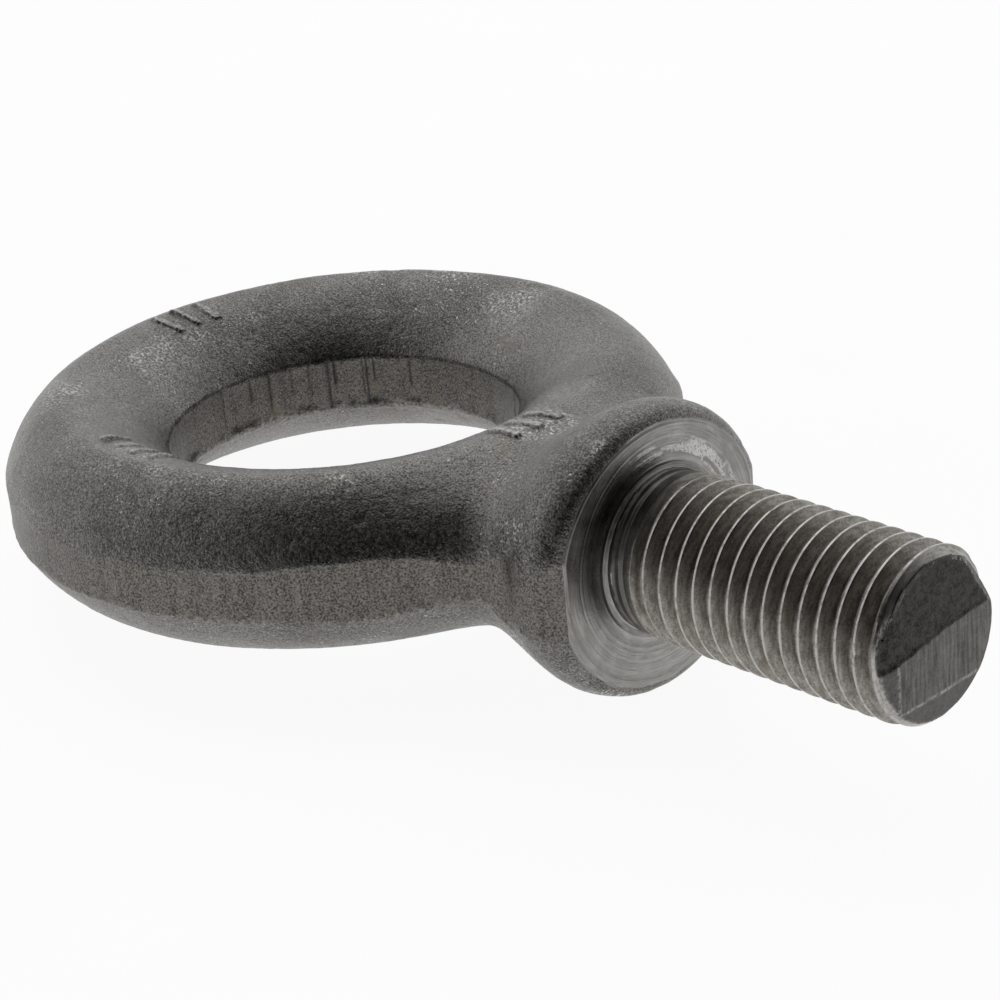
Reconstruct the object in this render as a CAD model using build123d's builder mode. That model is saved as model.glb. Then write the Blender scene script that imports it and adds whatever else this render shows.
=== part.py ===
"""Shoulder-pattern lifting eye bolt with a 20 x 2.5 mm thread, drop forged in one piece.

Frame: the origin is the centre of the collar's seating face. +X runs along the
shank to its tip, the eye lies in the XY plane behind the seat, and +Z is normal
to the eye. The parting plane of the forging is Z = 0. All sizes are millimetres.
"""

import math
import os

from build123d import *

os.makedirs("parts", exist_ok=True)

# eye ring
EYE_CENTRE_X = -55.5  # centre of the eye, behind the seating face
EYE_OUTER_R = 43.5  # trimmed outer edge
EYE_BORE_R = 22.7  # punched inner edge
CROWN_R = 35.0  # where the section is thickest
HALF_THICKNESS = 11.0
OUTER_BULGE = 9.9  # crown to the outer edge, before the flash is trimmed
INNER_BULGE = 15.0  # crown to the inner edge, before the web is punched out
ROUNDNESS = 1.6  # exponent of the section's outline, 2 is an ellipse
OUTER_BAND = (-3.7, 2.3)  # height of the trimmed band, from its lower edge
INNER_BAND = (-3.8, 3.3)  # height of the punched band
SECTION_STEPS = 5  # points on each quarter of the section

# neck and collar
NECK_SECTIONS = (  # distance behind the seat, half width, half height
    (27.0, 25.0, 10.2),
    (20.0, 20.4, 11.0),
    (14.5, 17.9, 11.9),
    (10.0, 17.5, 13.9),
    (6.6, 18.2, 16.7),
    (3.6, 18.6, 17.9),
)
SEAT_R = 15.65
COLLAR_ROLL_R = 2.2  # front edge of the collar
TRIM_HALF_WIDTH = 18.3  # flat left on both sides of the collar by the trimming
SPLIT_X = -10.0  # ring and collar meet here
SEAT_DEPTH = 0.8  # thickness of the machined face

# threaded shank
THREAD_R = 10.0
PITCH = 2.5
CREST_FLAT = PITCH / 8
ROOT_FLAT = 0.45
FLANK_ANGLE = 30.0  # each flank, from a plane square to the axis
CUTTER_GAP = 0.01  # half the gap between neighbouring turns of the groove, above the crests
GROOVE_START_X = 1.7  # centre of the groove where it starts, on top of the shank
CHAMFER_START_X = 38.3
CHAMFER_END = (39.7, 9.4)  # distance from the seat, radius
TIP_RIM = (40.2, 8.6)
TIP_BAND = (-6.2, 1.1)  # height of the sheared band across the tip
TIP_TOP_SLOPE = 12.0  # degrees, upper facet of the tip
TIP_BOTTOM_SLOPE = 26.0

# raised marks
MARK_TOP_Z = HALF_THICKNESS + 0.4
MARK_BOTTOM_Z = HALF_THICKNESS / 2  # inside the ring, before the ring is cut away
MARK_LENGTH = 4.6
MARK_WIDTH = 1.1
MARK_GAP = 3.4
MARK_SPOTS = (  # angle about the eye's centre, radius, number of bars
    (-93.0, 31.5, 4),
    (178.0, 32.8, 3),
    (-2.0, 35.5, 3),
)


def crown_height(radius):
    """Half height of the ring's rounded section at a radius from the eye's centre."""
    reach = OUTER_BULGE if radius > CROWN_R else INNER_BULGE
    share = min(abs(radius - CROWN_R) / reach, 1.0)
    return HALF_THICKNESS * (1 - share**ROUNDNESS) ** (1 / ROUNDNESS)


def crown_points(side):
    """Points of the section from the outer band over the crown to the inner band."""
    outer_z, inner_z = (OUTER_BAND[1], INNER_BAND[1]) if side > 0 else (-OUTER_BAND[0], -INNER_BAND[0])
    points = [(EYE_OUTER_R, side * outer_z)]
    for step in range(1, SECTION_STEPS):
        radius = CROWN_R + (EYE_OUTER_R - CROWN_R) * math.cos(math.pi / 2 * step / SECTION_STEPS)
        points.append((radius, side * crown_height(radius)))
    points.append((CROWN_R, side * HALF_THICKNESS))
    for step in range(1, SECTION_STEPS):
        radius = CROWN_R - (CROWN_R - EYE_BORE_R) * math.sin(math.pi / 2 * step / SECTION_STEPS)
        points.append((radius, side * crown_height(radius)))
    points.append((EYE_BORE_R, side * inner_z))
    return points


def ring_blank():
    """The whole ring as one revolved solid."""
    axis = Axis((EYE_CENTRE_X, 0, 0), (0, 0, 1))
    plane = Plane(origin=(EYE_CENTRE_X, 0, 0), x_dir=(1, 0, 0), z_dir=(0, -1, 0))
    with BuildPart() as ring:
        with BuildSketch(plane):
            with BuildLine():
                top = Spline(*crown_points(1))
                bottom = Spline(*crown_points(-1))
                Line(top @ 0, bottom @ 0)
                Line(top @ 1, bottom @ 1)
            make_face()
        revolve(axis=axis)
    return ring.part


# neck and collar blank: elliptical sections that run out of the ring, then a round roll
with BuildPart() as neck_blank:
    for behind, half_width, half_height in NECK_SECTIONS:
        with BuildSketch(Plane.YZ.offset(-behind)):
            Ellipse(half_width, half_height)
    loft()
    crest_behind = NECK_SECTIONS[-1][0]
    extrude(neck_blank.faces().sort_by(Axis.X)[-1], amount=crest_behind)
    fillet(neck_blank.faces().sort_by(Axis.X)[-1].edges(), COLLAR_ROLL_R)

with BuildPart() as forging:
    add(ring_blank())
    add(neck_blank.part)

with BuildPart() as eye_ring:
    add(forging.part)
    split(bisect_by=Plane.YZ.offset(SPLIT_X), keep=Keep.BOTTOM)
eye_ring.part.label = "eye_ring"
export_step(eye_ring.part, "parts/eye_ring.step")

with BuildPart() as shoulder_collar:
    add(neck_blank.part)
    split(bisect_by=Plane.YZ.offset(SPLIT_X), keep=Keep.TOP)
    split(bisect_by=Plane.XZ.offset(TRIM_HALF_WIDTH), keep=Keep.BOTTOM)
    split(bisect_by=Plane.XZ.offset(-TRIM_HALF_WIDTH), keep=Keep.TOP)
    with BuildSketch(Plane.YZ):
        Circle(SEAT_R)
    extrude(amount=-SEAT_DEPTH, mode=Mode.SUBTRACT)
shoulder_collar.part.label = "shoulder_collar"
export_step(shoulder_collar.part, "parts/shoulder_collar.step")

# machined annulus that seats on the load
with BuildPart() as seating_face:
    with BuildSketch(Plane.YZ):
        Circle(SEAT_R)
        Circle(THREAD_R, mode=Mode.SUBTRACT)
    extrude(amount=-SEAT_DEPTH)
seating_face.part.label = "seating_face"
export_step(seating_face.part, "parts/seating_face.step")

# groove of the right-hand thread: 60 degree flanks, flat root, straight past the crests
flank_slope = math.tan(math.radians(FLANK_ANGLE))
groove_half_width = (PITCH - CREST_FLAT) / 2
groove_depth = (groove_half_width - ROOT_FLAT / 2) / flank_slope
clear_height = (CREST_FLAT / 2 - CUTTER_GAP) / flank_slope
clear_half_width = groove_half_width + clear_height * flank_slope
with BuildPart() as groove:
    with BuildLine():
        path = Helix(
            PITCH,
            CHAMFER_START_X - GROOVE_START_X,
            THREAD_R,
            center=(GROOVE_START_X, 0, 0),
            direction=(1, 0, 0),
        )
    with BuildSketch(Plane(origin=path @ 0, x_dir=(1, 0, 0), z_dir=path % 0)):
        with BuildLine():
            Polyline(
                (-clear_half_width, clear_height),
                (clear_half_width, clear_height),
                (ROOT_FLAT / 2, -groove_depth),
                (-ROOT_FLAT / 2, -groove_depth),
                close=True,
            )
        make_face()
    sweep(path=path, is_frenet=True)

# outline of the shank: from the bottom of the seat's recess to a short stub at the tip
with BuildPart() as shank_outline:
    with BuildSketch(Plane.XY):
        with BuildLine():
            Polyline(
                (-SEAT_DEPTH, 0),
                (-SEAT_DEPTH, THREAD_R),
                (CHAMFER_START_X, THREAD_R),
                CHAMFER_END,
                TIP_RIM,
                (TIP_RIM[0], 0),
                close=True,
            )
        make_face()
    revolve(axis=Axis.X)

# shank: grooved bar cut to its outline, with a slope above and below the sheared band
with BuildPart() as threaded_shank:
    with BuildSketch(Plane.YZ.offset(-SEAT_DEPTH)):
        Circle(THREAD_R)
    extrude(amount=SEAT_DEPTH + TIP_RIM[0])
    add(groove.part, mode=Mode.SUBTRACT)
    add(shank_outline.part, mode=Mode.INTERSECT)
    for edge_z, slope, side in (
        (TIP_BAND[1], TIP_TOP_SLOPE, 1),
        (TIP_BAND[0], TIP_BOTTOM_SLOPE, -1),
    ):
        lean = math.radians(slope)
        facet_normal = (math.cos(lean), 0, side * math.sin(lean))
        split(bisect_by=Plane(origin=(TIP_RIM[0], 0, edge_z), z_dir=facet_normal), keep=Keep.BOTTOM)
threaded_shank.part.label = "threaded_shank"
export_step(threaded_shank.part, "parts/threaded_shank.step")

# raised identification bars, in three short rows on the upper side
with BuildPart() as raised_marks:
    with BuildSketch(Plane.XY.offset(MARK_TOP_Z)):
        for angle, radius, count in MARK_SPOTS:
            spread = math.degrees(MARK_GAP * (count - 1) / radius)
            with Locations((EYE_CENTRE_X, 0)):
                with PolarLocations(radius, count, angle - spread / 2, spread, endpoint=True):
                    Rectangle(MARK_LENGTH, MARK_WIDTH)
    extrude(amount=MARK_BOTTOM_Z - MARK_TOP_Z)
    add(forging.part, mode=Mode.SUBTRACT)
raised_marks.part.label = "raised_marks"
export_step(raised_marks.part, "parts/raised_marks.step")
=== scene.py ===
"""The looks of a drop-forged eye bolt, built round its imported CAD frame.

Shapes are worked out in millimetres in the CAD frame: the origin is the centre of
the seating face, +X runs to the tip of the shank and +Z is normal to the eye.
The forging is a signed field, meshed by surface nets and then given its scale,
dents, burrs and raised marks. The seat and the thread are meshed along their
own tool paths.
"""

import math

import bmesh
import bpy
import numpy as np
from mathutils import Matrix, Vector


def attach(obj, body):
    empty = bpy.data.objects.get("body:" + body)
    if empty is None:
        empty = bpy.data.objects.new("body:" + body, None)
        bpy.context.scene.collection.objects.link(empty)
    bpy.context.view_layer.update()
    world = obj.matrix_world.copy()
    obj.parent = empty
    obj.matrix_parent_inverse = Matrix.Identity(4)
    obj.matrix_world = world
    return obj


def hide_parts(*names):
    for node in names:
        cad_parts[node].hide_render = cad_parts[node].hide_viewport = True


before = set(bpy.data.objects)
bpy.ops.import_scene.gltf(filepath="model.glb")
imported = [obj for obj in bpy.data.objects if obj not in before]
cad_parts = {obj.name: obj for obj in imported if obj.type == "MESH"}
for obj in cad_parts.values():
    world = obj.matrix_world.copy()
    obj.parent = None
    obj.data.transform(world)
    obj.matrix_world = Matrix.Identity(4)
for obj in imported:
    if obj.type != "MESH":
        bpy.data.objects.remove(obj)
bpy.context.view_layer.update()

MM = 0.001
TURN = 2 * math.pi

# eye ring, millimetres
EYE_X = -55.6
EYE_OUTER_R = 43.7
EYE_BORE_R = 22.7
CROWN_R = 35.3  # where the ring is thickest
HALF_THICKNESS = 11.15
ROUNDNESS = 1.6  # exponent of the ring's section, where 2 is an ellipse
OUTER_BAND = (-3.7, 2.3)  # heights of the trimmed band's edges
INNER_BAND = (-3.8, 3.3)  # heights of the punched band's edges

# neck and collar: distance behind the seat, half height, half width
NECK_PROFILE = (
    (-0.6, 14.2, 14.6),
    (0.0, 15.65, 16.2),
    (0.35, 16.5, 17.0),
    (1.0, 17.15, 17.8),
    (2.0, 17.5, 18.4),
    (3.4, 17.65, 18.8),
    (5.2, 17.4, 18.7),
    (7.2, 16.6, 18.4),
    (9.2, 15.3, 18.2),
    (11.0, 13.9, 18.2),
    (13.0, 12.5, 18.5),
    (15.5, 11.1, 19.1),
    (18.5, 9.7, 20.6),
    (23.0, 8.0, 22.0),
    (28.0, 4.5, 21.0),
)
TRIM_HALF_WIDTH = (  # distance behind the seat, half width between the trimmed flats
    (-1.0, 14.2),
    (0.0, 15.55),
    (0.35, 16.3),
    (1.0, 17.1),
    (2.0, 17.8),
    (3.4, 18.2),
    (6.0, 18.0),
    (9.0, 17.4),
    (14.5, 17.7),
    (20.0, 20.0),
)
NECK_BLEND = 4.5
TRIM_BLEND = 8.0
TRIM_BACK_X = -22.0  # the collar's flats end here, inside the ring
NECK_RUN = (-18.0, -8.0)  # from the ring to the collar
SPLIT_X = -10.0  # the forging is cut here into its two pieces

# grids that the shapes are worked out on
STEP = 0.37  # spacing of the forging's mesh
FORGING_BOX = ((-100.5, -44.6, -19.2), (1.1, 44.6, 18.8))
SECTION_STEP = 0.2
RING_SECTION_BOX = ((12, -16), (56, 16))  # radius, height
NECK_SECTION_BOX = ((-36, 0), (6, 26))  # distance from the seat, radius
SECTION_POINTS = 240
CURVE_POINTS = 12  # between two knots

# machined seat
SEAT_DEPTH = 0.8
SEAT_COLUMNS = 360
SEAT_RINGS = 90
SHANK_FILLET = 0.42
FILLET_SHARE = 0.16  # of the seat's width, meshed more finely
FILLET_RINGS = 12
SHANK_OVERLAP = 0.3  # the plate reaches this far under the crests
SEAT_CORE_R = 9.0
SEAT_CORE_X = 0.4
TORN_LIFT = 0.018
CHATTER_ANGLE = math.radians(62)  # middle of the torn patch, from +Y towards +Z

# threaded shank
THREAD_R = 10.12
PITCH = 2.5
CREST_AT_TOP = 0.58  # distance of a crest from the seat, on top of the shank
RUNOUT = (0.5, 6.0)  # the die lifts out of the bar over this stretch
CHAMFER_START_X = 38.1
CHAMFER_END_X = 39.45
TIP_X = 40.0
TIP_BAND = (-6.1, 1.05)  # heights of the sheared band's edges at its middle
TIP_BAND_LEFT_Y = -7.1
TIP_BAND_TILT = 0.12  # rise of the band's upper edge towards +Y, and how that edge sags
TIP_BAND_SAG = 0.008
TIP_STEP = 0.10  # drop just above and just below the band
TIP_TOP_SLOPE = 0.085
TIP_BOTTOM_SLOPE = 0.12
TIP_SIDE_SLOPE = 0.20
BITE_SIDE = (0.82, 0.57)  # Y and Z of the side that the shear broke away
BITE_START = 7.1
BITE_SLOPE = 0.95
TIP_RIM_R = 8.75
TIP_RIM_SLOPE = 0.9
BLANK_R = 9.75  # bare shank at the run-out
THREAD_DEPTH = 1.5
RUNOUT_LIFT = 1.15
CREST_SHARE = 0.05  # half width of a crest, as a share of the pitch
ROOT_SHARE = 0.42  # from a crest's middle to the edge of the root
CREST_WEAR = 0.02
CHAMFER_LEAN = (0.22, 0.28)  # drop of the chamfer: share of the distance and of its square
RIDGE_HEIGHT = 0.16  # the lip that the first thread raises beside the seat
RIDGE_WIDTH = 0.16
NICKS = ((32.8, 143), (36.2, 172), (22.7, 160), (17.7, 95))  # distance, angle
NICK_DEPTH = 0.2
THREAD_COLUMNS = 256
THREAD_TURNS = (-2, 21)
THREAD_ROWS = (  # places along one pitch, from a crest
    *(-0.075, -0.05, 0.0, 0.05, 0.075, 0.12, 0.19, 0.27, 0.34),
    *(0.40, 0.46, 0.54, 0.60, 0.66, 0.73, 0.80, 0.87),
)
SHARP_EDGE = math.radians(38)

# forged surface, millimetres
WAVE_DEPTH = 0.055
WAVE_SIZE = 11.0
RIPPLE_DEPTH = 0.02
RIPPLE_SIZE = 3.1
MARK_RELIEF = 0.55
MARK_SIZE = (4.4, 0.95)  # length, width of a raised bar
MARK_GAP = 3.2
MARK_SLANT = 0.25  # sideways lean of a bar over its length
MARK_SPOTS = ((-93.0, 31.5, 4), (178.0, 32.8, 3), (-2.0, 35.5, 3))  # angle, radius, bars
MARK_MARGIN = (0.7, 0.6)  # skirt round a bar, along and across
MARK_GRID = (60, 22)
MARK_ROOT = 0.8  # depth of a bar's underside
PIT_SEED = 11
PIT_COUNT = 420
PIT_RADIUS = (0.5, 1.5)
PIT_DEPTH = (0.03, 0.11)
GROOVE_SEED = 12
GROOVE_COUNT = 14
GROOVE_WIDTH = (0.30, 0.45)
GROOVE_DEPTH = (0.04, 0.16)
GROOVE_BOTTOM = (-4.5, 0.5)
DEEP_GROOVES = (-174.6, -177.5, 173.4, 166, 158, 151.5, 149, 145, 133, 131.5, 116)  # angles
OUTER_BURR = (0.11, 0.03)  # height along the trimmed band's lower and upper edge
INNER_BURR = (0.28, 0.08)
SEAT_LIP = 0.15  # the forging's own face lies this far behind the machined one
COLLAR_DROP = 0.75  # the collar was forged this far below the shank's axis

# colours of the steel, linear
SCALE_DARK = (0.066, 0.064, 0.060)
SCALE_LIGHT = (0.252, 0.244, 0.233)
SCALE_BROWN = (0.155, 0.134, 0.107)
# bare steel of chips and scuffs, also used as the painted highlight on the crowns and the collar's
# roll
BARE_STEEL_AND_HIGHLIGHT = (0.58, 0.57, 0.55)
TRIM_DARK = (0.052, 0.049, 0.045)
TRIM_LIGHT = (0.220, 0.207, 0.190)
PUNCH_DARK = (0.060, 0.057, 0.051)
PUNCH_LIGHT = (0.202, 0.190, 0.175)
# painted shade in the punch's score grooves; also the dark crumbs along the burr
SCORE_SHADE_AND_CRUMB_DARK = (0.035, 0.033, 0.031)
BURR_LIGHT = (0.30, 0.285, 0.265)
SEAT_DARK = (0.185, 0.179, 0.170)
SEAT_LIGHT = (0.375, 0.363, 0.348)
SEAT_SMEAR = (0.40, 0.39, 0.375)
SEAT_TORN = (0.52, 0.51, 0.495)
FLANK_DARK = (0.160, 0.151, 0.135)
FLANK_LIGHT = (0.330, 0.314, 0.287)
FLANK_BROWN = (0.20, 0.172, 0.130)
CREST_STEEL = (0.400, 0.391, 0.377)
RUNOUT_DARK = (0.100, 0.096, 0.090)
RUNOUT_LIGHT = (0.190, 0.184, 0.174)
END_DARK = (0.022, 0.021, 0.020)
END_LIGHT = (0.080, 0.078, 0.073)
SHEAR_DARK = (0.078, 0.075, 0.071)
SHEAR_LIGHT = (0.182, 0.176, 0.167)
LIP_LIGHT = (0.150, 0.145, 0.137)

# camera
CAMERA_MM = (199.67, -204.11, 133.06)
AIM_MM = (-25.95, -1.14, 0.0)
ROLL_DEG = -5.645
LENS_MM = 97.98
SENSOR_MM = 36.0

# studio: a white tent, open and dark on the camera's side, over a glowing table
OPEN_SIDE = (0.815, -0.509, 0.276)
OPEN_SPREAD = (0.72, -0.15)  # cosines from that side where the dark starts to fade, and ends
TENT_GLOW = 1.0
OPEN_GLOW = 0.0
FLOOR_GLOW = 0.93
FLOOR_SIZE = 8.0
FLOOR_GAP = 0.0002
REST_POINTS = ((-3.4, -17.9), (-90.8, -11.0))  # X, Z where the collar and the ring touch it


def lattice_value(ix, iy, iz, seed):
    """A repeatable number from -1 to 1 for each whole-number lattice point."""
    mixed = (
        ix.astype(np.int64) * 73856093
        ^ iy.astype(np.int64) * 19349663
        ^ iz.astype(np.int64) * 83492791
        ^ np.int64(seed * 2654435761 % 2147483647)
    )
    mixed = (mixed ^ (mixed >> 13)) * 1274126177
    mixed = (mixed ^ (mixed >> 16)) & 0xFFFFFF
    return mixed / float(0x7FFFFF) - 1.0


def noise(points, size, seed):
    """Smooth value noise from -1 to 1 with features of the given size."""
    q = points / size
    cell = np.floor(q)
    t = q - cell
    t = t * t * t * (t * (t * 6 - 15) + 10)
    cell = cell.astype(np.int64)
    total = np.zeros(len(points))
    for dx in (0, 1):
        wx = t[:, 0] if dx else 1 - t[:, 0]
        for dy in (0, 1):
            wy = t[:, 1] if dy else 1 - t[:, 1]
            for dz in (0, 1):
                wz = t[:, 2] if dz else 1 - t[:, 2]
                value = lattice_value(cell[:, 0] + dx, cell[:, 1] + dy, cell[:, 2] + dz, seed)
                total += wx * wy * wz * value
    return total


def smoothstep(low, high, value):
    t = np.clip((value - low) / (high - low), 0, 1)
    return t * t * (3 - 2 * t)


def smooth_curve(knots, count):
    """Dense points on a Catmull-Rom curve through the knots."""
    p = np.array(knots, float)
    p = np.vstack([2 * p[0] - p[1], p, 2 * p[-1] - p[-2]])
    spans = len(p) - 3
    out = []
    for i in range(spans):
        a, b, c, d = p[i : i + 4]
        t = np.linspace(0, 1, count, endpoint=i == spans - 1)[:, None]
        square, cube = 2 * a - 5 * b + 4 * c - d, 3 * b - a - 3 * c + d
        out.append(0.5 * (2 * b + (c - a) * t + square * t**2 + cube * t**3))
    return np.vstack(out)


class Outline:
    """Signed distance to a closed outline, held on a grid and read by interpolation."""

    def __init__(self, points, low, high, step, open_segment=None):
        self.low = np.array(low, float)
        self.step = step
        nu = int((high[0] - low[0]) / step) + 2
        nv = int((high[1] - low[1]) / step) + 2
        across, up = low[0] + step * np.arange(nu), low[1] + step * np.arange(nv)
        u, v = np.meshgrid(across, up, indexing="ij")
        grid = np.stack([u.ravel(), v.ravel()], 1)
        nearest = np.full(len(grid), 1e9)
        inside = np.zeros(len(grid), bool)
        last = len(points)
        for i in range(last):
            a, b = points[i], points[(i + 1) % last]
            if open_segment is None or not open_segment(a, b):
                ab = b - a
                t = np.clip(((grid - a) @ ab) / max(ab @ ab, 1e-12), 0, 1)
                gap = grid - (a + t[:, None] * ab)
                nearest = np.minimum(nearest, (gap**2).sum(1))
            crosses = (a[1] > grid[:, 1]) != (b[1] > grid[:, 1])
            with np.errstate(divide="ignore", invalid="ignore"):
                at = a[0] + (grid[:, 1] - a[1]) * (b[0] - a[0]) / (b[1] - a[1])
            inside ^= crosses & (grid[:, 0] < at)
        distance = np.sqrt(nearest)
        distance[inside] *= -1
        self.table = distance.reshape(nu, nv)

    def read(self, u, v):
        n, m = self.table.shape
        s = np.clip((u - self.low[0]) / self.step, 0, n - 1.001)
        t = np.clip((v - self.low[1]) / self.step, 0, m - 1.001)
        i, j = s.astype(int), t.astype(int)
        s, t = s - i, t - j
        table = self.table
        return (
            table[i, j] * (1 - s) * (1 - t)
            + table[i + 1, j] * s * (1 - t)
            + table[i, j + 1] * (1 - s) * t
            + table[i + 1, j + 1] * s * t
        )


def bulge(edge_radius, band_height):
    """How far the rounded section reaches from its crown so that it is cut at that height."""
    share = (1 - (abs(band_height) / HALF_THICKNESS) ** ROUNDNESS) ** (1 / ROUNDNESS)
    return abs(edge_radius - CROWN_R) / share


def ring_outline():
    """The ring's section before trimming and punching, as dense points round its crown."""
    points = []
    for step in range(SECTION_POINTS):
        a = TURN * step / SECTION_POINTS
        c, s = math.cos(a), math.sin(a)
        side = 1 if s >= 0 else 0
        edge_r, band = (EYE_OUTER_R, OUTER_BAND) if c > 0 else (EYE_BORE_R, INNER_BAND)
        reach = bulge(edge_r, band[side])
        r = CROWN_R + reach * math.copysign(abs(c) ** (2 / ROUNDNESS), c)
        points.append((r, HALF_THICKNESS * math.copysign(abs(s) ** (2 / ROUNDNESS), s)))
    return np.array(points)


def neck_curve(column):
    """Dense points of one column of the neck's profile, from the seat backwards."""
    return smooth_curve([(-row[0], row[column]) for row in NECK_PROFILE], CURVE_POINTS)


neck_height = neck_curve(1)
neck_outline = np.vstack([[(neck_height[0, 0], 0.0)], neck_height, [(neck_height[-1, 0], 0.0)]])
ring_section = Outline(ring_outline(), *RING_SECTION_BOX, SECTION_STEP)
neck_section = Outline(
    neck_outline, *NECK_SECTION_BOX, SECTION_STEP, open_segment=lambda a, b: a[1] == 0 or b[1] == 0
)
height_curve, width_curve = neck_height[::-1], neck_curve(2)[::-1]
trim_curve = smooth_curve([(-behind, width) for behind, width in TRIM_HALF_WIDTH], CURVE_POINTS)[::-1]


def smooth_union(a, b, blend):
    h = np.clip(blend - np.abs(a - b), 0, None) / blend
    return np.minimum(a, b) - h * h * blend / 4


def eye_radius(p):
    return np.hypot(p[:, 0] - EYE_X, p[:, 1])


def collar_share(x):
    """1 at the collar, falling to 0 where the neck meets the ring."""
    return smoothstep(*NECK_RUN, x)


def body_field(p):
    """The rounded forging before any trimming: negative inside."""
    x, y, z = p[:, 0], p[:, 1], p[:, 2]
    ring = ring_section.read(eye_radius(p), z)
    height = np.interp(x, height_curve[:, 0], height_curve[:, 1])
    width = np.interp(x, width_curve[:, 0], width_curve[:, 1])
    neck = neck_section.read(x, np.hypot(y * height / width, z + COLLAR_DROP * collar_share(x)))
    return smooth_union(ring, neck, NECK_BLEND)


def trim_field(p):
    """Outline of the trimming die, seen from above."""
    ring = eye_radius(p) - EYE_OUTER_R
    side = np.abs(p[:, 1]) - np.interp(p[:, 0], trim_curve[:, 0], trim_curve[:, 1])
    side = np.maximum(side, TRIM_BACK_X - p[:, 0])
    return smooth_union(ring, side, TRIM_BLEND)


def forging_field(p):
    parts = [body_field(p), trim_field(p), EYE_BORE_R - eye_radius(p), p[:, 0]]
    return np.maximum.reduce(parts)


def gradient(field, p, h=0.02):
    out = np.empty_like(p)
    for axis in range(3):
        step = np.zeros(3)
        step[axis] = h
        out[:, axis] = (field(p + step) - field(p - step)) / (2 * h)
    return out


def settle(field, p, rounds=4):
    """Moves points onto the field's surface."""
    for _ in range(rounds):
        g = gradient(field, p)
        p = p - g * (field(p) / np.maximum((g * g).sum(1), 0.05))[:, None]
    return p


def surface_net(field, low, high, step):
    """Quads round the field's zero surface, one vertex in each cell that it crosses."""
    low = np.array(low, float)
    count = [int(math.ceil((high[a] - low[a]) / step)) + 1 for a in range(3)]
    axes = [low[a] + step * np.arange(count[a]) for a in range(3)]
    y, z = np.meshgrid(axes[1], axes[2], indexing="ij")
    y, z = y.ravel(), z.ravel()
    values = np.empty(count, np.float32)
    for i, x in enumerate(axes[0]):
        values[i] = field(np.stack([np.full(len(y), x), y, z], 1)).reshape(count[1], count[2])
    inside = values < 0
    shape = tuple(n - 1 for n in count)
    total = np.zeros(shape, np.int8)
    corners = [(a, b, c) for a in (0, 1) for b in (0, 1) for c in (0, 1)]
    for a, b, c in corners:
        total += inside[a : a + shape[0], b : b + shape[1], c : c + shape[2]]
    cells = np.argwhere((total > 0) & (total < 8))
    number = np.full(shape, -1, np.int64)
    number[tuple(cells.T)] = np.arange(len(cells))
    place = np.zeros((len(cells), 3))
    hits = np.zeros(len(cells))
    for start in corners:
        for axis in range(3):
            if start[axis]:
                continue
            end = list(start)
            end[axis] = 1
            va = values[tuple((cells + start).T)]
            vb = values[tuple((cells + end).T)]
            crossed = (va < 0) != (vb < 0)
            t = np.where(crossed, va / np.where(crossed, va - vb, 1), 0)
            edge = np.array(end) - np.array(start)
            point = np.array(start)[None, :] + t[:, None] * edge[None, :]
            place += point * crossed[:, None]
            hits += crossed
    vertices = low + step * (cells + place / hits[:, None])
    quads = []
    for axis in range(3):
        u, v = (axis + 1) % 3, (axis + 2) % 3
        a = [slice(None)] * 3
        b = [slice(None)] * 3
        a[axis], b[axis] = slice(0, -1), slice(1, None)
        first, second = inside[tuple(a)], inside[tuple(b)]
        spots = np.argwhere(first != second)
        keep = (spots[:, u] > 0) & (spots[:, v] > 0)
        keep &= (spots[:, u] < count[u] - 1) & (spots[:, v] < count[v] - 1)
        spots = spots[keep]
        outward = first[tuple(spots.T)]
        ring = []
        for du, dv in ((-1, -1), (0, -1), (0, 0), (-1, 0)):
            cell = spots.copy()
            cell[:, u] += du
            cell[:, v] += dv
            ring.append(number[tuple(cell.T)])
        ring = np.stack(ring, 1)
        ring[~outward] = ring[~outward][:, ::-1]
        quads.append(ring)
    return vertices, np.vstack(quads)


def relax(field, p, quads, rounds=3):
    """Evens out the quads while keeping the points on the surface."""
    edges = np.vstack([quads[:, [0, 1]], quads[:, [1, 2]], quads[:, [2, 3]], quads[:, [3, 0]]])
    for _ in range(rounds):
        total = np.zeros_like(p)
        number = np.zeros(len(p))
        for a, b in ((0, 1), (1, 0)):
            for axis in range(3):
                total[:, axis] += np.bincount(edges[:, a], p[edges[:, b], axis], len(p))
            number += np.bincount(edges[:, a], minlength=len(p))
        p = 0.4 * p + 0.6 * total / number[:, None]
        p = settle(field, p, 2)
    return p


def new_object(name, vertices_mm, faces):
    mesh = bpy.data.meshes.new(name)
    mesh.from_pydata((vertices_mm * MM).tolist(), [], faces)
    mesh.validate()
    mesh.polygons.foreach_set("use_smooth", [True] * len(mesh.polygons))
    piece = bpy.data.objects.new(name, mesh)
    bpy.context.scene.collection.objects.link(piece)
    return piece


def wavy_body(p):
    """The rounded forging with the slow unevenness of the dies."""
    return body_field(p) + WAVE_DEPTH * noise(p, WAVE_SIZE, 1)


def rippled_body(p):
    return wavy_body(p) + RIPPLE_DEPTH * noise(p, RIPPLE_SIZE, 2)


def rough_forging_field(p):
    """The forging with the unevenness that the dies and the trimming leave."""
    body = rippled_body(p)
    flat = p * np.array([1, 1, 0.35])
    trim = trim_field(p) + 0.03 * noise(flat, 6.0, 3) + 0.018 * noise(flat, 1.3, 4)
    bore = EYE_BORE_R - eye_radius(p) + 0.06 * noise(flat, 5.0, 5)
    return np.maximum.reduce([body, trim, bore, p[:, 0] + SEAT_LIP])


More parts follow.
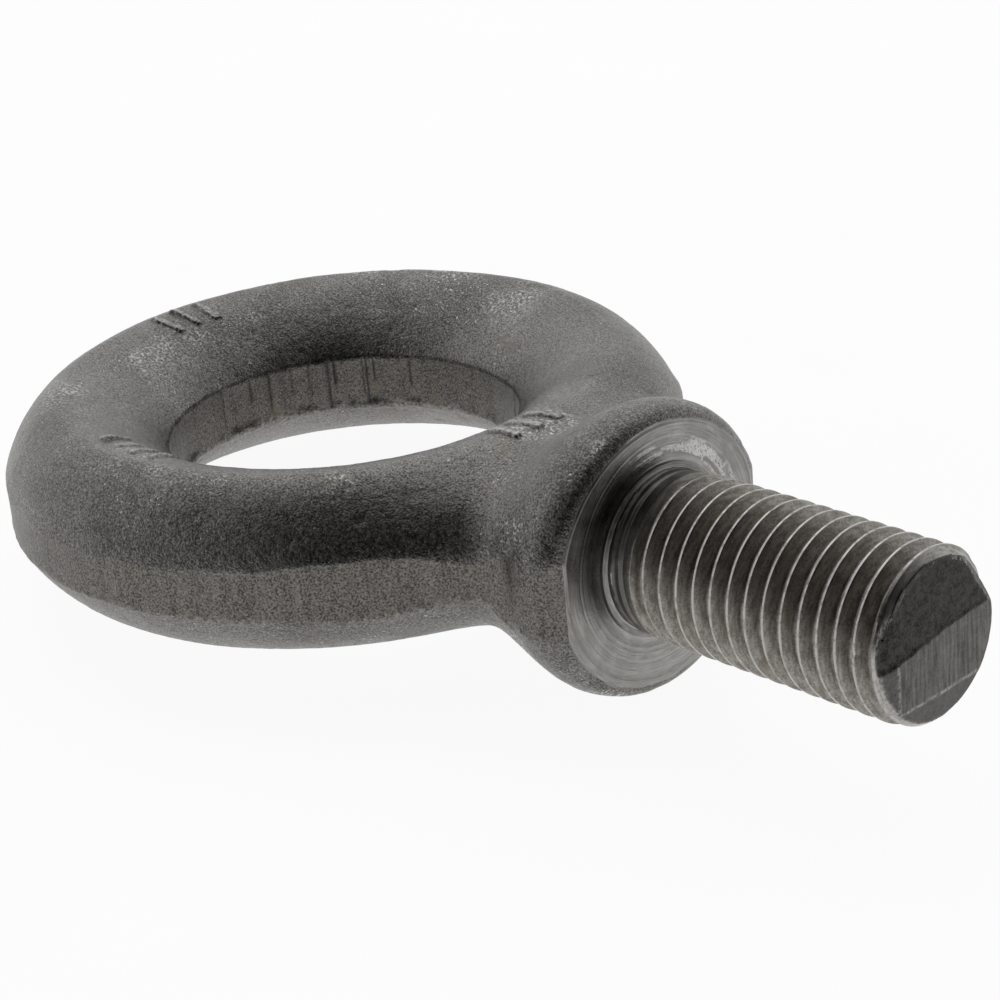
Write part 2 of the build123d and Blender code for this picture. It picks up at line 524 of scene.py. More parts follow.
def surface_kinds(p):
    """How much each point lies on the trimmed band and on the punched band, from 0 to 1."""
    under = smoothstep(-0.01, 0.06, -wavy_body(p))
    on_bore = smoothstep(0.5, 0.25, eye_radius(p) - EYE_BORE_R)
    on_face = smoothstep(-0.3, -0.2, p[:, 0])
    trimmed = under * (1 - on_bore) * (1 - on_face) * smoothstep(-0.4, -0.15, trim_field(p))
    return trimmed, under * on_bore


def pit_depth(p):
    """Small dents from shot blasting and handling, in millimetres."""
    rng = np.random.default_rng(PIT_SEED)
    depth = np.zeros(len(p))
    for _ in range(PIT_COUNT):
        centre = p[rng.integers(len(p))]
        radius = rng.uniform(*PIT_RADIUS)
        gap = np.abs(p - centre)
        near = np.flatnonzero(gap.max(1) < radius)
        share = (gap[near] ** 2).sum(1) / radius**2
        depth[near] += rng.uniform(*PIT_DEPTH) * np.clip(1 - share, 0, 1) ** 1.5
    return depth


def punch_grooves(p):
    """Upright scores that the punch leaves in the bore, in millimetres of depth."""
    rng = np.random.default_rng(GROOVE_SEED)
    angle = np.arctan2(p[:, 1], p[:, 0] - EYE_X)
    depth = np.zeros(len(p))
    loose = rng.uniform(-math.pi, math.pi, GROOVE_COUNT)
    for at in np.concatenate([np.radians(DEEP_GROOVES), loose]):
        wide, bottom = rng.uniform(*GROOVE_WIDTH) / EYE_BORE_R, rng.uniform(*GROOVE_BOTTOM)
        away = np.abs((angle - at + math.pi) % TURN - math.pi)
        score = smoothstep(wide, 0, away) * smoothstep(bottom - 0.8, bottom + 0.3, p[:, 2])
        depth += rng.uniform(*GROOVE_DEPTH) * score
    return depth


def forging_relief(p, trimmed, punched, grooves):
    """Displacement of the forged surface along its normal, in millimetres."""
    forged = 1 - np.maximum(trimmed, punched)
    face = smoothstep(-0.9, -0.4, p[:, 0])
    grit = 0.020 * noise(p, 0.9, 8) + 0.016 * noise(p, 0.5, 9)
    relief = grit * (0.4 + 0.6 * forged) - pit_depth(p) * forged
    relief -= grooves * punched
    body, trim = body_field(p) + 0.02, trim_field(p)
    bore = EYE_BORE_R - eye_radius(p)
    lower = p[:, 2] < 0
    ragged = np.clip(0.5 + 0.9 * noise(p, 1.1, 12) + 0.5 * noise(p, 5.0, 13), 0, 1.3)
    outer_edge = np.exp(-(body**2 + trim**2) / 0.10)
    inner_edge = np.exp(-(body**2 + bore**2) / 0.16)
    burr = outer_edge * np.where(lower, *OUTER_BURR) + inner_edge * np.where(lower, *INNER_BURR)
    relief += ragged * burr
    return relief * (1 - face)


def burr_share(p):
    """1 along the lower edges of both cut bands, where the metal was dragged out."""
    body, bore = body_field(p) ** 2, EYE_BORE_R - eye_radius(p)
    outer = np.exp(-(body + trim_field(p) ** 2) / 0.06)
    inner = np.exp(-(body + bore**2) / 0.3)
    return np.maximum(outer, inner) * (p[:, 2] < 0)


def add_layers(mesh, layers):
    """Stores a number at each point, under the names that the materials read."""
    for name, values in layers.items():
        layer = mesh.attributes.new(name, "FLOAT", "POINT")
        layer.data.foreach_set("value", np.asarray(values, dtype=np.float32))


def forging_mesh():
    """One mesh of the whole forging, with its surface kinds as point attributes."""
    p, quads = surface_net(forging_field, *FORGING_BOX, STEP)
    p = settle(forging_field, p)
    p = relax(forging_field, p, quads)
    p = settle(rough_forging_field, p, 3)
    normal = gradient(rough_forging_field, p)
    normal /= np.maximum(np.linalg.norm(normal, axis=1), 1e-6)[:, None]
    trimmed, punched = surface_kinds(p)
    grooves = punch_grooves(p)
    layers = {
        "trimmed": trimmed,
        "punched": punched,
        "burr": burr_share(p),
        # painted shade mask: the deeper score grooves, darkened in the material
        "score_shade": smoothstep(0.02, 0.13, grooves) * punched,
    }
    p = p + normal * forging_relief(p, trimmed, punched, grooves)[:, None]
    mesh = bpy.data.meshes.new("forging")
    mesh.from_pydata((p * MM).tolist(), [], quads.tolist())
    add_layers(mesh, layers | {"worn_and_highlit": wear_and_highlight(p, normal)})
    return mesh


def wear_and_highlight(p, normal):
    """Where the scale is painted bright: a painted highlight on the upward-facing crowns and along
    the collar's roll, over scattered scuffs that are real.
    """
    # painted highlight: surfaces facing up, towards the overhead light, are made bright
    up = smoothstep(0.72, 0.98, normal[:, 2]) * (p[:, 0] < -14)
    radius = np.hypot(p[:, 1], p[:, 2] + COLLAR_DROP)
    # painted highlight along the collar's roll
    roll = smoothstep(16.4, 17.4, radius) * smoothstep(-12, -7, p[:, 0])
    patches = smoothstep(0.05, 0.6, noise(p, 9.0, 20) + 0.4 * noise(p, 3.0, 21))
    return np.clip((0.55 * up + 0.75 * roll + 0.12) * patches, 0, 1)


def crown_height(x, y):
    """Height of the ring's upper side over each point of the plan."""
    low, high = np.full(len(x), 3.0), np.full(len(x), 13.0)
    for _ in range(28):
        z = (low + high) / 2
        p = np.stack([x, y, z], 1)
        inside = rippled_body(p) < 0
        low, high = np.where(inside, z, low), np.where(inside, high, z)
    return low


def mark_shell(angle, radius):
    """Points of one raised bar, its top then its underside, and how far each stands up."""
    (rows, columns), (length, width) = MARK_GRID, MARK_SIZE
    end, side = MARK_MARGIN
    u, v = np.meshgrid(np.linspace(-1, 1, rows), np.linspace(-1, 1, columns), indexing="ij")
    u, v = u.ravel() * (length / 2 + end), v.ravel() * (width / 2 + side)
    slant = v + MARK_SLANT * u
    x = EYE_X + (radius + u) * math.cos(angle) - slant * math.sin(angle)
    y = (radius + u) * math.sin(angle) + slant * math.cos(angle)
    p = np.stack([x, y, crown_height(x, y)], 1)
    normal = gradient(body_field, p)
    normal /= np.linalg.norm(normal, axis=1)[:, None]
    ragged = 0.16 * noise(p, 1.4, 30) + 0.07 * noise(p, 0.5, 31)
    wall = np.maximum(np.abs(u) - length / 2, np.abs(v) - width / 2) + ragged
    uneven = 0.8 + 0.3 * noise(p, 2.1, 40) + 0.12 * noise(p, 0.6, 41)
    high = smoothstep(0.22, -0.14, wall) * uneven
    border = (np.abs(u) > length / 2 + end - 0.05) | (np.abs(v) > width / 2 + side - 0.05)
    lift = np.where(border, -0.5, MARK_RELIEF * high - 0.09)
    shell = np.vstack([p + normal * lift[:, None], p - normal * MARK_ROOT])
    return shell, np.concatenate([np.clip(high, 0, 1), np.zeros(len(p))])


def shell_faces(rows, columns, start):
    """Quads of a closed shell: a grid, the same grid turned over, and a wall round both."""
    under = rows * columns
    faces = []
    for j in range(rows - 1):
        for k in range(columns - 1):
            corner = start + j * columns + k
            quad = (corner, corner + columns, corner + columns + 1, corner + 1)
            faces.append(quad)
            faces.append(tuple(n + under for n in reversed(quad)))
    edge = [j * columns for j in range(rows)]
    edge += [(rows - 1) * columns + k for k in range(1, columns)]
    edge += [j * columns + columns - 1 for j in range(rows - 2, -1, -1)]
    edge += [k for k in range(columns - 2, 0, -1)]
    for n, m in zip(edge, edge[1:] + edge[:1]):
        faces.append((start + n, start + m, start + m + under, start + n + under))
    return faces


def make_marks():
    """Raised bars standing out of the ring, each a closed shell sunk into it."""
    shells, raised, faces = [], [], []
    for angle, radius, count in MARK_SPOTS:
        spread = MARK_GAP * (count - 1) / radius
        for i in range(count):
            at = math.radians(angle) - spread / 2 + spread * i / max(count - 1, 1)
            shell, height = mark_shell(at, radius)
            faces += shell_faces(*MARK_GRID, start=len(shells) * len(shell))
            shells.append(shell)
            raised.append(height)
    piece = new_object("forged_marks", np.vstack(shells), faces)
    add_layers(piece.data, {"raised": np.concatenate(raised)})
    fix_normals(piece)
    return piece


def split_piece(name, whole, keep_high):
    """One side of the forging, cut square at SPLIT_X and closed there."""
    b = bmesh.new()
    b.from_mesh(whole)
    plane = (SPLIT_X * MM, 0, 0)
    everything = b.verts[:] + b.edges[:] + b.faces[:]
    bmesh.ops.bisect_plane(b, geom=everything, dist=1e-7, plane_co=plane, plane_no=(1, 0, 0))
    b.normal_update()
    seam = b.verts.layers.float_vector.new("whole_normal")
    for v in b.verts:
        v[seam] = v.normal
    side = 1 if keep_high else -1
    away = [f for f in b.faces if (f.calc_center_median().x - plane[0]) * side < 0]
    bmesh.ops.delete(b, geom=away, context="FACES")
    rim = [e for e in b.edges if e.is_boundary]
    cap = bmesh.ops.holes_fill(b, edges=rim)["faces"]
    bmesh.ops.triangulate(b, faces=cap)
    bmesh.ops.recalc_face_normals(b, faces=b.faces)
    mesh = bpy.data.meshes.new(name)
    b.to_mesh(mesh)
    b.free()
    mesh.polygons.foreach_set("use_smooth", [True] * len(mesh.polygons))
    normals = np.zeros(len(mesh.vertices) * 3)
    mesh.attributes["whole_normal"].data.foreach_get("vector", normals)
    mesh.normals_split_custom_set_from_vertices(normals.reshape(-1, 3).tolist())
    mesh.attributes.remove(mesh.attributes["whole_normal"])
    piece = bpy.data.objects.new(name, mesh)
    bpy.context.scene.collection.objects.link(piece)
    return piece


def grid_faces(rows, columns, shift=0):
    """Quads of a grid that closes on itself after its last column, shift rows further on."""
    faces = []
    for j in range(rows - 1):
        for i in range(columns):
            n = j * columns + i
            if i < columns - 1:
                faces.append((n, n + 1, n + columns + 1, n + columns))
            elif j + 1 + shift < rows:
                k = (j + shift) * columns
                faces.append((n, k, k + columns, n + columns))
    return faces


def on_circle(x, r, angle):
    """Points at a distance from the seat, a radius and an angle."""
    return np.stack([x, r * np.cos(angle), r * np.sin(angle)], 1)


def seat_radius(angle, x):
    """Radius of the forging's roll at one distance from the seat, along each angle."""
    low, high = np.full(len(angle), 12.0), np.full(len(angle), 19.0)
    for _ in range(30):
        r = (low + high) / 2
        p = on_circle(np.full(len(angle), x), r, angle)
        inside = np.maximum(wavy_body(p), trim_field(p)) < 0
        low, high = np.where(inside, r, low), np.where(inside, high, r)
    return low


def seat_height(r):
    """Profile of the turned face: root fillet, flat, and a faint outer bevel."""
    reach = np.clip((THREAD_R - SHANK_OVERLAP + SHANK_FILLET - r) / SHANK_FILLET, 0, 1)
    fillet = SHANK_FILLET * (1 - np.sqrt(1 - reach**2))
    lip = 0.03 * np.exp(-(((r - 10.55) / 0.09) ** 2))
    groove = -0.02 * np.exp(-(((r - 13.75) / 0.12) ** 2))
    groove -= 0.012 * np.exp(-(((r - 13.2) / 0.09) ** 2))
    return fillet + lip + groove - 0.045 * smoothstep(13.9, 15.6, r)


def chatter(r, angle):
    """Bright torn patches that the tool left round the top of the root, from 0 to 1."""
    swept = np.stack([r * 3.2, angle * 5.0, np.zeros_like(r)], 1)
    fine = np.stack([r * 1.0, angle * 34.0, np.ones_like(r)], 1)
    patch = smoothstep(0.02, 0.32, noise(swept, 1.7, 70) + 0.30 * noise(fine, 1.0, 71))
    around = smoothstep(0.55, 0.80, np.cos(angle - CHATTER_ANGLE))
    return patch * around * smoothstep(10.9, 11.3, r) * smoothstep(13.9, 13.2, r)


def make_seat():
    """The machined annulus as a closed plate, its rim fitted to the forging."""
    columns, lip_x = SEAT_COLUMNS, -SEAT_LIP - 0.07
    angle = TURN * np.arange(columns) / columns
    rim, lip = seat_radius(angle, -0.02), seat_radius(angle, lip_x)
    inner = THREAD_R - SHANK_OVERLAP
    fillet = np.linspace(0, FILLET_SHARE, FILLET_RINGS, endpoint=False)
    shares = np.concatenate([fillet, np.linspace(FILLET_SHARE, 1, SEAT_RINGS)])
    rows, torn = [], []
    for share in shares:
        r = inner + (rim - inner) * share
        torn.append(chatter(r, angle))
        rows.append(on_circle(seat_height(r) + TORN_LIFT * torn[-1], r, angle))
    core = np.full(columns, SEAT_CORE_R)
    back = ((lip + 0.01, lip_x), (rim - 0.15, -SEAT_DEPTH), (core, -SEAT_DEPTH), (core, SEAT_CORE_X))
    for r, x in back:
        rows.append(on_circle(np.full(columns, x), r, angle))
    faces = grid_faces(len(rows), columns)
    last = (len(rows) - 1) * columns
    for i in range(columns):
        j = (i + 1) % columns
        faces.append((last + i, last + j, j, i))
    piece = new_object("machined_seat", np.vstack(rows), faces)
    values = np.zeros(len(piece.data.vertices))
    values[: len(torn) * columns] = np.concatenate(torn)
    add_layers(piece.data, {"torn": values})
    fix_normals(piece)
    return piece


def fix_normals(piece):
    b = bmesh.new()
    b.from_mesh(piece.data)
    bmesh.ops.remove_doubles(b, verts=b.verts, dist=2e-6)
    bmesh.ops.dissolve_degenerate(b, dist=1e-7, edges=b.edges)
    rim = [e for e in b.edges if e.is_boundary]
    bmesh.ops.holes_fill(b, edges=rim)
    bmesh.ops.recalc_face_normals(b, faces=b.faces)
    b.to_mesh(piece.data)
    b.free()
    piece.data.polygons.foreach_set("use_smooth", [True] * len(piece.data.polygons))


def tip_distance(y, z):
    """How far the sheared end stands from the seat, its flat band, lower lip and bright edges."""
    p = np.stack([np.zeros_like(y), y, z], 1)
    uneven = noise(p, 2.4, 50) + 0.5 * noise(p, 0.9, 51)
    rough = 0.13 * noise(p, 0.8, 52)
    above = z - TIP_BAND[1] - TIP_BAND_TILT * y + TIP_BAND_SAG * y**2 + rough
    below = TIP_BAND[0] - z + rough
    aside = TIP_BAND_LEFT_Y - y + rough
    face = TIP_X - 0.003 * (y - 1) ** 2
    face -= TIP_STEP * smoothstep(0, 0.5, above) + TIP_TOP_SLOPE * np.clip(above, 0, None)
    face += 0.05 * uneven * smoothstep(0, 0.6, above)
    face -= TIP_STEP * smoothstep(0, 0.35, below) + TIP_BOTTOM_SLOPE * np.clip(below, 0, None)
    face -= TIP_SIDE_SLOPE * np.clip(aside, 0, None)
    broken = np.clip(y * BITE_SIDE[0] + z * BITE_SIDE[1] - BITE_START, 0, None)
    bite = TIP_X + 0.5 - BITE_SLOPE * broken + 0.10 * uneven
    rim = TIP_X - TIP_RIM_SLOPE * np.clip(np.hypot(y, z) - TIP_RIM_R, 0, None)
    outside = np.maximum.reduce([above, below, aside])
    edge = np.exp(-((np.maximum(below, aside) / 0.16) ** 2)) * (above < 0.3)
    edge = np.maximum(edge, 0.8 * np.exp(-(((bite - face) / 0.08) ** 2)))
    lip = smoothstep(-0.1, 0.1, np.maximum(below, aside)) * smoothstep(0.3, -0.3, above)
    return np.minimum.reduce([face, bite, rim]), smoothstep(0.12, -0.12, outside), lip, edge


def thread_depth(x, crest_x):
    """Depth of the thread below its crests, in millimetres, and how much is bare crest."""
    u = np.abs((x - crest_x) / PITCH - np.round((x - crest_x) / PITCH))
    shape = np.clip((u - CREST_SHARE) / (ROOT_SHARE - CREST_SHARE), 0, 1)
    shape = shape + 0.035 * np.sin(math.pi * shape)
    return THREAD_DEPTH * shape, smoothstep(CREST_SHARE + 0.03, CREST_SHARE, u)


def chamfer_radius(x):
    drop = np.clip(x - CHAMFER_START_X, 0, None)
    return THREAD_R - CREST_WEAR - CHAMFER_LEAN[0] * drop - CHAMFER_LEAN[1] * drop**2


def make_thread():
    """The shank as one helical sheet: run-out, thread, chamfer and sheared end."""
    columns = THREAD_COLUMNS
    steps = np.concatenate([np.array(THREAD_ROWS) + k for k in range(*THREAD_TURNS)])
    angle = TURN * np.arange(columns) / columns
    along = PITCH * (steps[:, None] + (angle[None, :] - math.pi / 2) / TURN) + CREST_AT_TOP
    angle = np.broadcast_to(angle[None, :], along.shape)
    t, a = along.ravel(), angle.ravel()
    crest_x = CREST_AT_TOP + PITCH * (a - math.pi / 2) / TURN
    x = np.clip(t, -0.6, CHAMFER_END_X)
    spot = on_circle(x, THREAD_R, a)
    depth, crest = thread_depth(x, crest_x)
    grown = smoothstep(*RUNOUT, x + 0.3 * noise(spot, 6.0, 60))
    top = BLANK_R + (THREAD_R - BLANK_R) * smoothstep(2.6, 5.2, x)
    r = np.minimum(top, THREAD_R - depth + RUNOUT_LIFT * (1 - grown))
    first = x - crest_x + 0.1
    ridge = np.exp(-((first / RIDGE_WIDTH) ** 2)) * (0.6 + 0.5 * noise(spot, 0.8, 63)) * (x < 2)
    r += RIDGE_HEIGHT * ridge
    r -= 0.10 * smoothstep(0.15, 0.4, np.abs(first)) * (x < crest_x + 1.6)
    r -= CREST_WEAR * np.clip(noise(spot, 1.4, 61), 0, 1) * crest + 0.010 * noise(spot, 0.7, 62)
    for nick_x, nick_angle in NICKS:
        turn = np.angle(np.exp(1j * (a - math.radians(nick_angle))))
        r -= NICK_DEPTH * np.exp(-((x - nick_x) ** 2 + (THREAD_R * turn) ** 2) / 0.14)
    r = np.minimum(r, chamfer_radius(x))
    inward = np.clip(t - CHAMFER_END_X, 0, None)
    on_end = inward > 0
    r = np.where(on_end, np.clip(chamfer_radius(CHAMFER_END_X) - inward * 1.05, 0, None), r)
    y, z = r * np.cos(a), r * np.sin(a)
    face_x, band, lip, edge = tip_distance(y, z)
    past_rim = np.maximum(t - CHAMFER_END_X, x - face_x)
    on_end |= x > face_x
    x = np.where(on_end, face_x, x)
    faces = grid_faces(len(steps), columns, shift=len(THREAD_ROWS))
    piece = new_object("rolled_thread", np.stack([x, y, z], 1), faces)
    layers = {
        "crest": np.maximum(crest * grown, 0.9 * ridge) * ~on_end,
        "sheared": on_end * band,
        "lip": on_end * lip,
        "edge": np.maximum(on_end * edge, 0.9 * np.exp(-((past_rim / 0.15) ** 2))),
        "chamfer": smoothstep(CHAMFER_START_X, CHAMFER_START_X + 0.2, t) * ~on_end,
        "end_face": on_end,
        "runout": smoothstep(4.4, 2.6, t),
    }
    add_layers(piece.data, layers)
    fix_normals(piece)
    piece.data.set_sharp_from_angle(angle=SHARP_EDGE)
    return piece


whole_forging = forging_mesh()
marks = make_marks()
eye = split_piece("forged_eye", whole_forging, keep_high=False)
collar = split_piece("forged_collar", whole_forging, keep_high=True)
seat = make_seat()
thread = make_thread()
for piece, nodes, slot in (
    (eye, ("eye_ring",), "forged_steel"),
    (marks, ("raised_marks",), "forged_steel"),
    (collar, ("shoulder_collar",), "forged_steel"),
    (seat, ("seating_face",), "machined_steel"),
    (thread, ("threaded_shank",), "thread_steel"),
):
    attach(piece, "root")
    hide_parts(*nodes)


class Look:
    """A procedural metal, built up node by node on object coordinates."""

    def __init__(self, name, metallic):
        self.material = bpy.data.materials.new(name)
        self.material.use_nodes = True
        self.tree = self.material.node_tree
        self.shader = self.tree.nodes["Principled BSDF"]
        self.shader.inputs["Metallic"].default_value = metallic
        self.place = self.add("TexCoord").outputs["Object"]  # metres, on the CAD frame

    def put(self, socket, value):
        if isinstance(value, bpy.types.NodeSocket):
            self.tree.links.new(value, socket)
        elif socket.type == "RGBA" and len(value) == 3:
            socket.default_value = (*value, 1)
        else:
            socket.default_value = value

    def add(self, kind, inputs=None, **settings):
        node = self.tree.nodes.new("ShaderNode" + kind)
        for key, value in settings.items():
            setattr(node, key, value)
        for key, value in (inputs or {}).items():
            self.put(node.inputs[key], value)
        return node

    def noise(self, size, detail=3, stretch=(1, 1, 1), shift=0.0):
        """Noise with grains of the given size in millimetres, drawn out by stretch."""
        scale = [1 / (size * MM * s) for s in stretch]
        inputs = {"Vector": self.place, "Location": (shift, 0, 0), "Scale": scale}
        where = self.add("Mapping", inputs).outputs[0]
        return self.add("TexNoise", {"Vector": where, "Scale": 1.0, "Detail": detail}).outputs[0]

    def radius(self):
        """Distance from the shank's axis."""
        flat = self.add("VectorMath", {0: self.place, 1: (0, 1, 1)}, operation="MULTIPLY")
        return self.add("VectorMath", {0: flat.outputs[0]}, operation="LENGTH").outputs["Value"]

    def rings(self, size, detail=2):
        """Noise that only changes with the distance from the shank's axis."""
        inputs = {"W": self.radius(), "Scale": 1 / (size * MM), "Detail": detail}
        return self.add("TexNoise", inputs, noise_dimensions="1D").outputs[0]

    def around(self, size, stretch, across, detail=3):
        """Noise drawn out round the shank's axis; its seam lies underneath."""
        _, y, z = self.add("SeparateXYZ", {0: self.place}).outputs
        turn = self.times(self.math("ARCTAN2", y, z), THREAD_R * MM / stretch)
        where = self.add("CombineXYZ", {0: across, 1: turn}).outputs[0]
        inputs = {"Vector": where, "Scale": 1 / (size * MM), "Detail": detail}
        return self.add("TexNoise", inputs).outputs[0]

    def mark(self, name):
        return self.add("Attribute", attribute_name=name).outputs["Fac"]

    def fade(self, value, low, high, start=0.0, end=1.0):
        return self.add(
            "MapRange",
            {"Value": value, "From Min": low, "From Max": high, "To Min": start, "To Max": end},
            interpolation_type="SMOOTHSTEP",
        ).outputs[0]

    def math(self, operation, a, b=0.0, clamp=False):
        return self.add("Math", {0: a, 1: b}, operation=operation, use_clamp=clamp).outputs[0]

    def times(self, a, b):
        return self.math("MULTIPLY", a, b)

    def mix(self, share, a, b):
        node = self.add("Mix", {0: share}, data_type="RGBA")
        self.put(node.inputs[6], a)
        self.put(node.inputs[7], b)
        return node.outputs[2]

    def total(self, *parts):
        """Sum of weighted sockets, each given as a pair."""
        result = self.times(*parts[0])
        for part in parts[1:]:
            result = self.math("ADD", result, self.times(*part))
        return result

    def blend(self, share, a, b):
        return self.add("Mix", {0: share, 2: a, 3: b}, data_type="FLOAT").outputs[0]

    def bump(self, height, depth):
        """Relief of the given depth in millimetres, laid over any bump already there."""
        node = self.add("Bump", {"Height": height, "Distance": depth * MM, "Strength": 1.0})
        under = self.shader.inputs["Normal"]
        if under.is_linked:
            self.put(node.inputs["Normal"], under.links[0].from_socket)
        self.put(under, node.outputs[0])


def forged_look():
    look = Look("forged_scale", 1.0)
    trimmed, punched = look.mark("trimmed"), look.mark("punched")
    worn_and_highlit, raised, burr = look.mark("worn_and_highlit"), look.mark("raised"), look.mark("burr")
    cloud = look.noise(13, 4)
    grit = look.noise(0.5, 3)
    grain = look.noise(0.24, 5)
    tone = look.total((cloud, 0.22), (grit, 0.16), (grain, 0.62))
    scale_colour = look.mix(look.fade(tone, 0.38, 0.62), SCALE_DARK, SCALE_LIGHT)
    rusty = look.fade(look.noise(5.5, 4, shift=3.0), 0.60, 0.74, 0.0, 0.45)
    scale_colour = look.mix(rusty, scale_colour, SCALE_BROWN)
    chips = look.fade(look.noise(0.38, 2, shift=5.0), 0.64, 0.72, 0.0, 0.9)
    chips = look.times(chips, look.fade(look.noise(7.0, 3, shift=2.0), 0.45, 0.65, 0.15, 1.0))
    # painted highlight on the upward crowns and the collar's roll, mixed with real scuffs and the
    # abraded tops of the raised bars
    rubbed_and_highlit = look.times(look.fade(look.noise(0.4, 3, shift=7.0), 0.50, 0.64), worn_and_highlit)
    rubbed_and_highlit = look.math("MAXIMUM", rubbed_and_highlit, look.times(raised, look.fade(grit, 0.38, 0.6, 0.15, 0.5)))
    light = look.math("MAXIMUM", chips, rubbed_and_highlit)
    scale_colour = look.mix(light, scale_colour, BARE_STEEL_AND_HIGHLIGHT)

    strokes = look.noise(0.42, 3, stretch=(1, 1, 7))
    streaks = look.noise(1.9, 3, stretch=(1, 1, 12), shift=2.0)
    trim_tone = look.total((grain, 0.72), (strokes, 0.16), (streaks, 0.12))
    trim_colour = look.mix(look.fade(trim_tone, 0.36, 0.64), TRIM_DARK, TRIM_LIGHT)
    punch_colour = look.mix(look.fade(trim_tone, 0.36, 0.64), PUNCH_DARK, PUNCH_LIGHT)
    # painted shade: the score grooves are darkened
    score_shade = look.times(look.mark("score_shade"), look.fade(streaks, 0.35, 0.5, 0.6, 0.95))
    punch_colour = look.mix(score_shade, punch_colour, SCORE_SHADE_AND_CRUMB_DARK)
    stain = look.fade(look.noise(4.5, 3, stretch=(1, 1, 1.6), shift=9.0), 0.60, 0.70, 0.0, 0.7)
    punch_colour = look.mix(stain, punch_colour, SCALE_BROWN)
    colour = look.mix(trimmed, scale_colour, trim_colour)
    colour = look.mix(punched, colour, punch_colour)
    crumbs = look.fade(look.noise(0.5, 3, shift=4.0), 0.35, 0.65)
    dragged = look.times(burr, look.fade(cloud, 0.38, 0.62, 0.1, 0.5))
    colour = look.mix(dragged, colour, look.mix(crumbs, SCORE_SHADE_AND_CRUMB_DARK, BURR_LIGHT))
    look.put(look.shader.inputs["Base Color"], colour)

    rough = look.blend(light, look.fade(grit, 0.3, 0.7, 0.34, 0.47), 0.30)
    cut = look.math("MAXIMUM", trimmed, punched)
    rough = look.blend(cut, rough, look.fade(strokes, 0.35, 0.65, 0.37, 0.48))
    look.put(look.shader.inputs["Roughness"], rough)
    skin = look.math("SUBTRACT", 1.0, look.times(cut, 0.45))
    look.bump(look.times(look.noise(1.5, 2, shift=1.0), skin), 0.05)
    look.bump(look.times(grit, skin), 0.07)
    look.bump(look.times(grain, skin), 0.07)
    look.bump(look.times(strokes, cut), 0.04)
    return look.material


def machined_look():
    look = Look("turned_seat", 1.0)
    fine, broad = look.around(0.11, 14, look.radius()), look.rings(0.7, 3)
    smear = look.noise(2.6, 4, shift=4.0)
    tone = look.total((fine, 0.5), (broad, 0.5))
    colour = look.mix(look.fade(tone, 0.30, 0.70), SEAT_DARK, SEAT_LIGHT)
    colour = look.mix(look.fade(smear, 0.50, 0.68, 0.0, 0.3), colour, SEAT_SMEAR)
    torn = look.times(look.mark("torn"), look.fade(look.noise(0.3, 2), 0.36, 0.5))
    colour = look.mix(torn, colour, SEAT_TORN)
    look.put(look.shader.inputs["Base Color"], colour)
    look.put(look.shader.inputs["Roughness"], look.fade(smear, 0.35, 0.65, 0.26, 0.38))
    look.shader.inputs["Anisotropic"].default_value = 0.85
    round_axis = look.add("Tangent", direction_type="RADIAL", axis="X")
    look.put(look.shader.inputs["Tangent"], round_axis.outputs[0])
    look.bump(fine, 0.006)
    look.bump(broad, 0.012)
    look.bump(look.noise(0.4, 3), 0.015)
    return look.material


